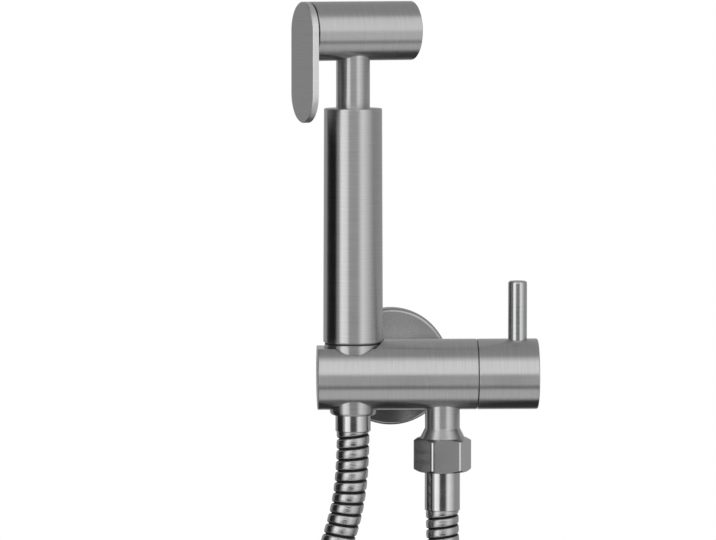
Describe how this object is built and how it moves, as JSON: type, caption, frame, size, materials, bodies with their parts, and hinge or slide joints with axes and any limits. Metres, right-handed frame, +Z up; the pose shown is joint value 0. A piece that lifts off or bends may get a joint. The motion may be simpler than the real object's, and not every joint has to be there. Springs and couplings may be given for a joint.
{
  "type": "bidet shower set",
  "caption": "Wall shut-off valve with quarter-turn handle and handset holder, metal hose, and a handset with a thumb trigger.",
  "frame": {"origin": "where the inlet's axis meets the wall's face", "axes": "+X right along the valve, +Y into the wall along the inlet, +Z up"},
  "size_m": [0.168, 0.0776, 0.4885],
  "materials": {
    "brushed_steel": "brushed",
    "hose_steel": "satin",
    "brass": "machined",
    "steel_parts": "satin",
    "rubber": "matt",
    "ceramic": "lapped",
    "plastic": "matt"
  },
  "bodies": {
    "root": {"valve_body": "brushed_steel", "inlet_spigot": "steel_parts", "inlet_filter": "steel_parts", "seat_seal": "rubber", "fixed_disc": "ceramic", "cartridge_body": "brass", "cartridge_nut": "brass", "glide_ring": "plastic", "outlet_nipple": "brushed_steel", "nut_washer": "rubber", "supply_tail": "brass", "hose_nut": "brushed_steel", "supply_ferrule": "brushed_steel", "hose_supply_strand": "hose_steel", "hose_coil": "hose_steel", "hose_handset_strand": "hose_steel", "hose_tie": "plastic"},
    "flange": {"wall_flange": "brushed_steel", "flange_o_ring": "rubber"},
    "handle": {"handle_cap": "brushed_steel", "lever_pin": "brushed_steel", "handle_screw": "steel_parts", "spindle": "brass", "spindle_o_ring": "rubber", "turning_disc": "ceramic"},
    "hose_end": {"handset_tail": "brass", "handset_ferrule": "brushed_steel"},
    "handset": {"cone_nut": "brushed_steel", "handset_washer": "rubber", "grip_seal": "rubber", "base_connector": "brass", "grip_sleeve": "brushed_steel", "inner_tube": "steel_parts", "neck_tube": "brushed_steel", "head_shell": "brushed_steel", "valve_seat": "brass", "flow_sleeve": "plastic", "spray_plate": "steel_parts", "trigger_bracket": "steel_parts", "pivot_pin": "steel_parts", "stem_gland": "brass", "gland_o_ring": "rubber", "return_spring": "steel_parts"},
    "trigger": {"trigger_paddle": "brushed_steel"},
    "stem": {"valve_stem": "brass", "poppet_washer": "rubber"}
  },
  "joints": [
    {"name": "handle_turn", "type": "hinge", "parent": "root", "child": "handle", "pos_m": [0.0348, -0.044, 0], "axis": [1, 0, 0], "range_deg": [0, 90]},
    {"name": "flange_slide", "type": "slide", "parent": "root", "child": "flange", "axis": [0, -1, 0], "range_m": [0, 0.012]},
    {"name": "handset_lift", "type": "slide", "parent": "root", "child": "hose_end", "axis": [0, 0, 1], "range_m": [0, 0.045]},
    {"name": "handset_swivel", "type": "hinge", "parent": "hose_end", "child": "handset", "pos_m": [-0.018, -0.044, 0], "axis": [0, 0, 1], "continuous": true},
    {"name": "trigger_press", "type": "hinge", "parent": "handset", "child": "trigger", "pos_m": [-0.03529, -0.05029, 0.1376], "axis": [0.342, -0.9397, 0], "range_deg": [0, 6], "stiffness_Nm_per_rad": 0.058, "springref_deg": -8.59},
    {"name": "stem_slide", "type": "slide", "parent": "handset", "child": "stem", "axis": [-0.9397, -0.342, 0], "range_m": [0, 0.00085], "deforming": ["return_spring"]}
  ],
  "couplings": [
    {"joint": "stem_slide", "follows": "trigger_press", "m_per_rad": 0.008}
  ]
}
